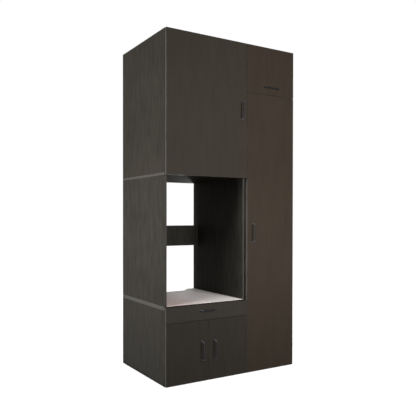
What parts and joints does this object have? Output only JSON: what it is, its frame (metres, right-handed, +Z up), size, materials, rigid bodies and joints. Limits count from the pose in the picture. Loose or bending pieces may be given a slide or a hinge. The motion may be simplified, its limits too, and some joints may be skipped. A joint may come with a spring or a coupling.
{
  "type": "laundry cabinet",
  "caption": "Tall fitted laundry cabinet with a raised open niche for a washing machine, doors, a drawer, a flap and a tall side cabinet.",
  "frame": {"origin": "on the floor, in the middle of the footprint with the handles", "axes": "+X to the right as seen from the front, -Y out of the fronts, +Z up"},
  "size_m": [1.11, 0.67, 2.35],
  "materials": {
    "front_laminate": "matt laminate, brown-grey",
    "board_laminate": "matt laminate with a fine upright grain, dark grey",
    "light_sheet": "satin, light warm grey",
    "white_panel": "smooth white",
    "black_metal": "satin black",
    "steel": "zinc plated",
    "black_plastic": "matt"
  },
  "bodies": {
    "cabinet": {"glides": "black_plastic", "base_bottom": "board_laminate", "base_side_left": "board_laminate", "base_side_right": "board_laminate", "base_back": "white_panel", "machine_board": "board_laminate", "machine_sheet": "light_sheet", "niche_side_left": "board_laminate", "niche_side_right": "board_laminate", "niche_rail": "board_laminate", "upper_bottom": "board_laminate", "upper_side_left": "board_laminate", "upper_side_right": "board_laminate", "upper_top": "board_laminate", "upper_back": "white_panel", "upper_shelves": "board_laminate", "tall_bottom": "board_laminate", "tall_side_left": "board_laminate", "tall_side_right": "board_laminate", "tall_top": "board_laminate", "tall_divider": "board_laminate", "tall_fixed_shelf": "board_laminate", "tall_shelves": "board_laminate", "tall_back": "white_panel", "shelf_pins": "steel", "hinge_arms": "steel", "runner_outer": "steel"},
    "upper_link": {"upper_links": "steel"},
    "upper_door": {"upper_door": "front_laminate", "upper_cups": "steel", "upper_handle": "black_metal"},
    "tall_link": {"tall_links": "steel"},
    "tall_door": {"tall_door": "front_laminate", "tall_cups": "steel", "tall_handle": "black_metal"},
    "flap_link": {"flap_links": "steel"},
    "flap": {"flap": "front_laminate", "flap_cups": "steel", "flap_handle": "black_metal"},
    "base_left_link": {"base_left_links": "steel"},
    "base_left_door": {"base_door_left": "front_laminate", "base_left_cups": "steel", "base_left_handle": "black_metal"},
    "base_right_link": {"base_right_links": "steel"},
    "base_right_door": {"base_door_right": "front_laminate", "base_right_cups": "steel", "base_right_handle": "black_metal"},
    "drawer": {"drawer_front": "front_laminate", "drawer_handle": "black_metal", "drawer_side_left": "white_panel", "drawer_side_right": "white_panel", "drawer_box_front": "white_panel", "drawer_box_back": "white_panel", "drawer_bottom": "white_panel", "runner_inner": "steel"},
    "runner_middle": {"runner_middle": "steel"}
  },
  "joints": [
    {"name": "upper_link_hinge", "type": "hinge", "parent": "cabinet", "child": "upper_link", "pos_m": [-0.5195, -0.282, 1.495], "axis": [0, 0, 1], "range_deg": [0, 28]},
    {"name": "upper_hinge", "type": "hinge", "parent": "upper_link", "child": "upper_door", "pos_m": [-0.543, -0.3005, 1.495], "axis": [0, 0, -1], "range_deg": [0, 123]},
    {"name": "tall_link_hinge", "type": "hinge", "parent": "cabinet", "child": "tall_link", "pos_m": [0.5195, -0.282, 0.1075], "axis": [0, 0, -1], "range_deg": [0, 28]},
    {"name": "tall_hinge", "type": "hinge", "parent": "tall_link", "child": "tall_door", "pos_m": [0.543, -0.3005, 0.1075], "axis": [0, 0, 1], "range_deg": [0, 123]},
    {"name": "flap_link_hinge", "type": "hinge", "parent": "cabinet", "child": "flap_link", "pos_m": [0.1965, -0.282, 2.3145], "axis": [1, 0, 0], "range_deg": [0, 28]},
    {"name": "flap_hinge", "type": "hinge", "parent": "flap_link", "child": "flap", "pos_m": [0.1965, -0.3005, 2.338], "axis": [-1, 0, 0], "range_deg": [0, 123]},
    {"name": "base_left_link_hinge", "type": "hinge", "parent": "cabinet", "child": "base_left_link", "pos_m": [-0.5195, -0.282, 0.0875], "axis": [0, 0, 1], "range_deg": [0, 28]},
    {"name": "base_left_hinge", "type": "hinge", "parent": "base_left_link", "child": "base_left_door", "pos_m": [-0.543, -0.3005, 0.0875], "axis": [0, 0, -1], "range_deg": [0, 123]},
    {"name": "base_right_link_hinge", "type": "hinge", "parent": "cabinet", "child": "base_right_link", "pos_m": [0.0795, -0.282, 0.0875], "axis": [0, 0, -1], "range_deg": [0, 26.6]},
    {"name": "base_right_hinge", "type": "hinge", "parent": "base_right_link", "child": "base_right_door", "pos_m": [0.103, -0.3005, 0.0875], "axis": [0, 0, 1], "range_deg": [0, 116.5]},
    {"name": "drawer_slide", "type": "slide", "parent": "cabinet", "child": "drawer", "axis": [0, -1, 0], "range_m": [0, 0.48]},
    {"name": "runner_slide", "type": "slide", "parent": "cabinet", "child": "runner_middle", "axis": [0, -1, 0], "range_m": [0, 0.24]}
  ],
  "couplings": [
    {"joint": "upper_link_hinge", "follows": "upper_hinge", "ratio": 0.2276},
    {"joint": "tall_link_hinge", "follows": "tall_hinge", "ratio": 0.2276},
    {"joint": "flap_link_hinge", "follows": "flap_hinge", "ratio": 0.2276},
    {"joint": "base_left_link_hinge", "follows": "base_left_hinge", "ratio": 0.2276},
    {"joint": "base_right_link_hinge", "follows": "base_right_hinge", "ratio": 0.2276},
    {"joint": "runner_slide", "follows": "drawer_slide", "ratio": 0.5}
  ]
}
